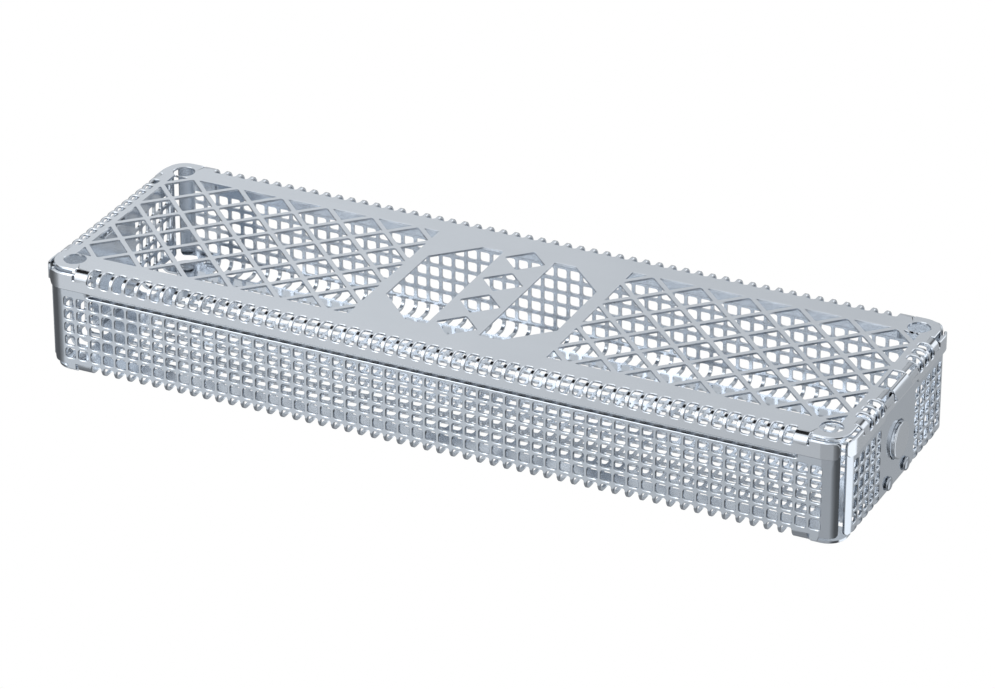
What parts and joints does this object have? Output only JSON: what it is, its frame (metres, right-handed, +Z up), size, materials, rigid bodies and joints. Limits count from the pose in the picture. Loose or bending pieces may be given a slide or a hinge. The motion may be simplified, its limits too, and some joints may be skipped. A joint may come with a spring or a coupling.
{
  "type": "instrument tray",
  "caption": "Slim perforated stainless basket with a pivoting lattice lid, a sprung push-button latch and round feet, for washing and sterilising instruments.",
  "frame": {"origin": "middle of the footprint, on the plane the four feet stand on", "axes": "+Z up; +X along the length towards the latch and its push button; -Y is the front long wall; the lid pivots at the -X end"},
  "size_m": [0.3032, 0.0972, 0.042],
  "materials": {
    "basket_steel": "electropolished stainless sheet, 1 mm",
    "lid_steel": "electropolished stainless sheet, 0.8 mm",
    "stud_steel": "turned stainless, satin",
    "spring_steel": "polished stainless spring strip"
  },
  "bodies": {
    "basket": {"basket": "basket_steel", "foot_front_left": "stud_steel", "foot_front_right": "stud_steel", "foot_back_left": "stud_steel", "foot_back_right": "stud_steel", "latch_rivet_front": "stud_steel", "latch_rivet_back": "stud_steel"},
    "lid": {"lid": "lid_steel"},
    "latch": {"latch_spring": "spring_steel", "latch_button": "spring_steel"}
  },
  "joints": [
    {"name": "lid_pivot", "type": "hinge", "parent": "basket", "child": "lid", "pos_m": [-0.1507, 0, 0.0348], "axis": [0, -1, 0], "range_deg": [0, 95]},
    {"name": "latch_press", "type": "hinge", "parent": "basket", "child": "latch", "pos_m": [0.1483, 0, 0.0072], "axis": [0, -1, 0], "range_deg": [0, 5], "stiffness_Nm_per_rad": 2.2}
  ]
}
